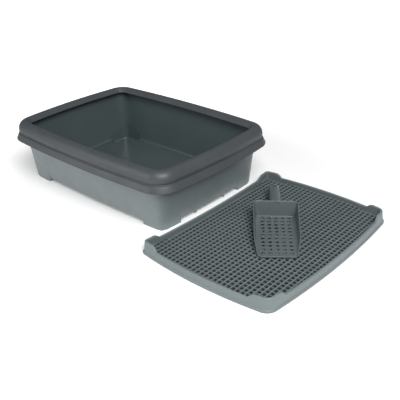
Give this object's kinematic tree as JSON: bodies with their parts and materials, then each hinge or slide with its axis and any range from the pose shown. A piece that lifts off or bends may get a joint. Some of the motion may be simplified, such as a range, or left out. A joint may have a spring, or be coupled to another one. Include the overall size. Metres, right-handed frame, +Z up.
{
  "type": "litter tray",
  "caption": "Open rectangular litter tray: a tapered footed pan with a drop-on overhanging rim, a low walled grid mat beside it and a perforated scoop on the mat.",
  "frame": {"origin": "on the floor, under the middle of the whole set's bounding box", "axes": "+X along the pan, from the pan towards the mat; +Y across the pan, away from the picture's camera; +Z up"},
  "size_m": [0.8737, 0.463, 0.153],
  "materials": {
    "pan_plastic": "mid grey moulded polypropylene, satin inside, fine texture outside",
    "rim_plastic": "dark warm grey moulded polypropylene, fine satin texture",
    "mat_plastic": "mid grey moulded polypropylene, satin",
    "scoop_plastic": "mid grey moulded polypropylene, satin"
  },
  "bodies": {
    "pan": {"pan": "pan_plastic"},
    "rim": {"rim": "rim_plastic"},
    "grid_mat": {"grid_mat": "mat_plastic"},
    "scoop": {"scoop": "scoop_plastic"}
  },
  "joints": [
    {"name": "rim_lift", "type": "slide", "parent": "pan", "child": "rim", "axis": [0, 0, 1], "range_m": [0, 0.12]},
    {"name": "mat_shift", "type": "slide", "parent": "pan", "child": "grid_mat", "axis": [1, 0, 0], "range_m": [0, 0.2]},
    {"name": "scoop_lift", "type": "slide", "parent": "grid_mat", "child": "scoop", "axis": [0, 0, 1], "range_m": [0, 0.15]}
  ]
}
